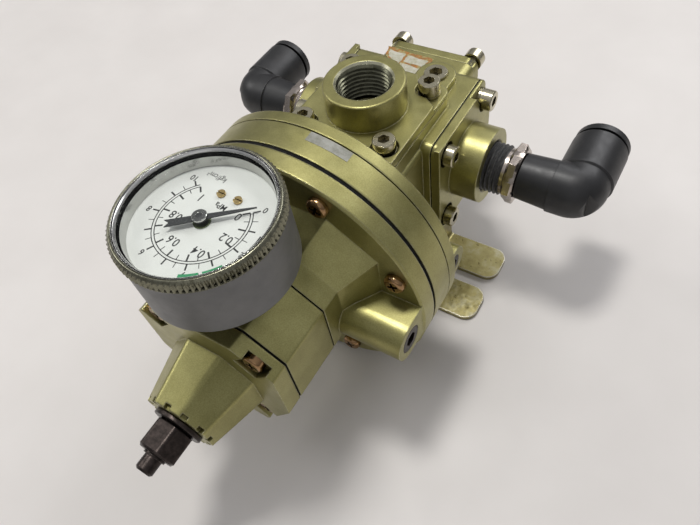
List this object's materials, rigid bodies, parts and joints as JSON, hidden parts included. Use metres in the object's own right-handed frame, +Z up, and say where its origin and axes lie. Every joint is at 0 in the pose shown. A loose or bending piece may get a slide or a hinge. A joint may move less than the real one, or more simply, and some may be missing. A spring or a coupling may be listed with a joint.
{
  "type": "air pressure regulator",
  "caption": "Pilot-operated air pressure regulator: disc-shaped diaphragm casing, dial gauge on top, threaded outlet port, push-in elbows on both sides, slotted foot bracket.",
  "frame": {"origin": "centre of the foot bracket's underside, midway between its two open slots, under the outlet port's axis", "axes": "+Z up, out of the outlet port; Y along the main axis of screw, diaphragm and spindle, with the adjusting screw at -Y and the rear cover at +Y; +X to the supply elbow"},
  "size_m": [0.1797, 0.209, 0.1212],
  "materials": {
    "body_paint": "satin metallic khaki paint on die-cast aluminium",
    "grey_paint": "satin grey paint on steel",
    "nickel_steel": "nickel-plated, slightly tarnished",
    "zinc_steel": "yellow zinc plated",
    "bronze_steel": "bronze-brown plated",
    "black_steel": "black oxide",
    "spring_steel": "oiled spring steel",
    "stainless": "turned",
    "bracket_plate": "zinc plated, yellow passivated",
    "nickel_brass": "nickel plated",
    "brass": "turned",
    "black_rubber": "matt",
    "black_plastic": "satin, moulded",
    "lens_glass": "clear",
    "dial_white": "white printed sheet",
    "black_pointer": "black painted sheet",
    "green_hand": "green painted sheet"
  },
  "bodies": {
    "regulator_body": {"block_gasket": "black_rubber", "body_seals": "black_rubber", "bonnet": "body_paint", "bonnet_screws": "bronze_steel", "bourdon_tube": "brass", "bracket_screws": "zinc_steel", "case_screws": "bronze_steel", "dial_screws": "brass", "exhaust_flange": "body_paint", "exhaust_flange_screws": "zinc_steel", "exhaust_nipple": "nickel_brass", "exhaust_spring": "spring_steel", "foot_bracket": "bracket_plate", "front_diaphragm_case": "body_paint", "gauge_bezel": "nickel_steel", "gauge_block": "body_paint", "gauge_case": "grey_paint", "gauge_dial": "dial_white", "gauge_lens": "lens_glass", "gauge_movement": "brass", "gauge_stem": "brass", "main_diaphragm": "black_rubber", "outlet_flange": "body_paint", "outlet_flange_screws": "zinc_steel", "pilot_diaphragm": "black_rubber", "pilot_plate": "stainless", "pilot_port_plug": "black_steel", "rear_cover": "body_paint", "rear_cover_screws": "zinc_steel", "rear_diaphragm_case": "body_paint", "regulating_spring": "spring_steel", "sensing_port_plug": "black_steel", "spring_washers": "zinc_steel", "supply_flange": "body_paint", "supply_flange_screws": "zinc_steel", "supply_nipple": "nickel_brass", "supply_spring": "spring_steel", "top_plug": "zinc_steel", "valve_body": "body_paint", "valve_seats": "brass"},
    "spindle": {"spindle": "stainless", "spindle_nut": "stainless", "diaphragm_centre": "black_rubber", "diaphragm_plates": "stainless", "supply_poppet": "brass"},
    "exhaust_poppet": {"exhaust_poppet": "brass"},
    "pilot_valve": {"pilot_valve": "brass"},
    "spring_seat": {"spring_seat": "stainless"},
    "adjusting_screw": {"adjusting_screw": "black_steel"},
    "lock_washer": {"lock_washer": "black_steel"},
    "lock_nut": {"lock_nut": "black_steel"},
    "gauge_pointer": {"gauge_pointer": "black_pointer"},
    "limit_hand_low": {"limit_hand_low": "green_hand"},
    "limit_hand_high": {"limit_hand_high": "green_hand"},
    "supply_elbow": {"supply_elbow": "black_plastic", "supply_tube_seal": "black_rubber"},
    "exhaust_elbow": {"exhaust_elbow": "black_plastic", "exhaust_tube_seal": "black_rubber"},
    "supply_collar": {"supply_release_collar": "black_plastic"},
    "exhaust_collar": {"exhaust_release_collar": "black_plastic"}
  },
  "joints": [
    {"name": "spindle_slide", "type": "slide", "parent": "regulator_body", "child": "spindle", "axis": [0, 1, 0], "range_m": [0, 0.0015], "stiffness_N_per_m": 3000, "deforming": ["supply_spring"]},
    {"name": "exhaust_poppet_slide", "type": "slide", "parent": "regulator_body", "child": "exhaust_poppet", "axis": [0, -1, 0], "range_m": [0, 0.0015], "stiffness_N_per_m": 1500, "deforming": ["exhaust_spring"]},
    {"name": "pilot_valve_slide", "type": "slide", "parent": "regulator_body", "child": "pilot_valve", "axis": [0, 1, 0], "range_m": [0, 0.0008], "stiffness_N_per_m": 400},
    {"name": "screw_travel", "type": "slide", "parent": "regulator_body", "child": "spring_seat", "axis": [0, 1, 0], "range_m": [-0.002, 0.003], "deforming": ["regulating_spring"]},
    {"name": "screw_turn", "type": "hinge", "parent": "spring_seat", "child": "adjusting_screw", "pos_m": [0, -0.1302, 0.057], "axis": [0, 1, 0], "range_deg": [-577, 865]},
    {"name": "nut_travel", "type": "slide", "parent": "regulator_body", "child": "lock_washer", "axis": [0, -1, 0], "range_m": [0, 0.00125]},
    {"name": "nut_turn", "type": "hinge", "parent": "lock_washer", "child": "lock_nut", "pos_m": [0, -0.1358, 0.057], "axis": [0, -1, 0], "range_deg": [0, 361]},
    {"name": "pointer_turn", "type": "hinge", "parent": "regulator_body", "child": "gauge_pointer", "pos_m": [0, -0.087, 0.057], "axis": [0, 0, -1], "range_deg": [0, 270], "stiffness_Nm_per_rad": 0.0004},
    {"name": "low_hand_turn", "type": "hinge", "parent": "regulator_body", "child": "limit_hand_low", "pos_m": [0, -0.087, 0.057], "axis": [0, 0, -1], "range_deg": [-70, 0]},
    {"name": "high_hand_turn", "type": "hinge", "parent": "regulator_body", "child": "limit_hand_high", "pos_m": [0, -0.087, 0.057], "axis": [0, 0, -1], "range_deg": [0, 150]},
    {"name": "supply_swivel", "type": "hinge", "parent": "regulator_body", "child": "supply_elbow", "pos_m": [0.0635, 0.0195, 0.057], "axis": [1, 0, 0], "continuous": true},
    {"name": "exhaust_swivel", "type": "hinge", "parent": "regulator_body", "child": "exhaust_elbow", "pos_m": [-0.061, 0.0195, 0.057], "axis": [-1, 0, 0], "continuous": true},
    {"name": "supply_collar_push", "type": "slide", "parent": "supply_elbow", "child": "supply_collar", "axis": [0, -1, 0], "range_m": [0, 0.0008], "stiffness_N_per_m": 1500},
    {"name": "exhaust_collar_push", "type": "slide", "parent": "exhaust_elbow", "child": "exhaust_collar", "axis": [0, -1, 0], "range_m": [0, 0.0008], "stiffness_N_per_m": 1500}
  ],
  "couplings": [
    {"joint": "screw_turn", "follows": "screw_travel", "rad_per_m": 5026.5},
    {"joint": "nut_turn", "follows": "nut_travel", "rad_per_m": 5026.5}
  ]
}
